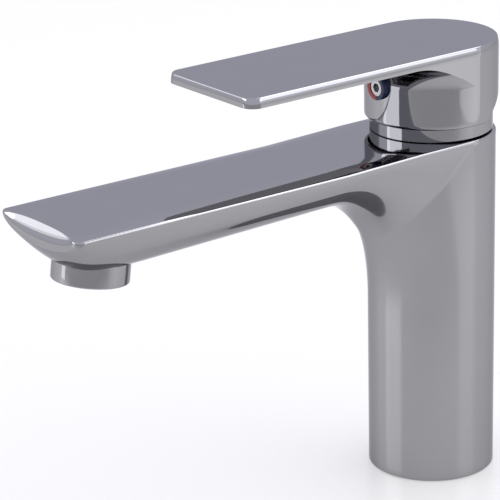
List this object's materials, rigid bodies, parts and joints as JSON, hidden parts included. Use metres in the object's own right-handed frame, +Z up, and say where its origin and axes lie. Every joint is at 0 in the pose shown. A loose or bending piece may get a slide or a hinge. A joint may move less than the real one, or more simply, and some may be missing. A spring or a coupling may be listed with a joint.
{
  "type": "basin mixer tap",
  "caption": "Single-lever basin mixer: round column, flat-topped spout, flat lever on a round hub, ceramic-disc cartridge inside and a tilted aerator.",
  "frame": {"origin": "column axis at the deck, in the plane of the foot", "axes": "+Z up along the column, spout along -Y, hot side at -X"},
  "size_m": [0.0482, 0.1924, 0.1634],
  "materials": {
    "chrome": "mirror chrome plating",
    "rubber_black": "matt black rubber",
    "cartridge_plastic": "grey moulded plastic",
    "slider_plastic": "natural acetal",
    "ceramic": "lapped ceramic",
    "nut_brass": "turned brass",
    "stem_brass": "drawn brass",
    "steel": "stainless steel",
    "mark_red": "red plastic",
    "mark_blue": "blue plastic",
    "screen_plastic": "off-white plastic"
  },
  "bodies": {
    "body": {"body": "chrome", "base_gasket": "rubber_black", "cartridge_housing": "cartridge_plastic", "cartridge_base": "cartridge_plastic", "cartridge_seals": "rubber_black", "fixed_disc": "ceramic", "retaining_nut": "nut_brass", "collar": "chrome", "collar_seal": "rubber_black", "collar_oring": "rubber_black", "aerator_shell": "chrome", "aerator_washer": "rubber_black", "aerator_insert": "screen_plastic", "aerator_screen": "screen_plastic"},
    "swivel": {"cartridge_yoke": "slider_plastic"},
    "lever": {"lever": "chrome", "lever_stem": "stem_brass", "pivot_pin": "steel", "set_screw": "steel", "index_red": "mark_red", "index_blue": "mark_blue"},
    "disc": {"moving_disc": "ceramic", "disc_driver": "slider_plastic"}
  },
  "joints": [
    {"name": "lever_swivel", "type": "hinge", "parent": "body", "child": "swivel", "pos_m": [0, 0, 0.1346], "axis": [0, 0, 1], "range_deg": [-50, 50]},
    {"name": "lever_lift", "type": "hinge", "parent": "swivel", "child": "lever", "pos_m": [0, 0, 0.1346], "axis": [-1, 0, 0], "range_deg": [0, 25]},
    {"name": "disc_slide", "type": "slide", "parent": "swivel", "child": "disc", "axis": [0, -1, 0], "range_m": [0, 0.005]}
  ],
  "couplings": [
    {"joint": "disc_slide", "follows": "lever_lift", "m_per_rad": 0.011459}
  ]
}
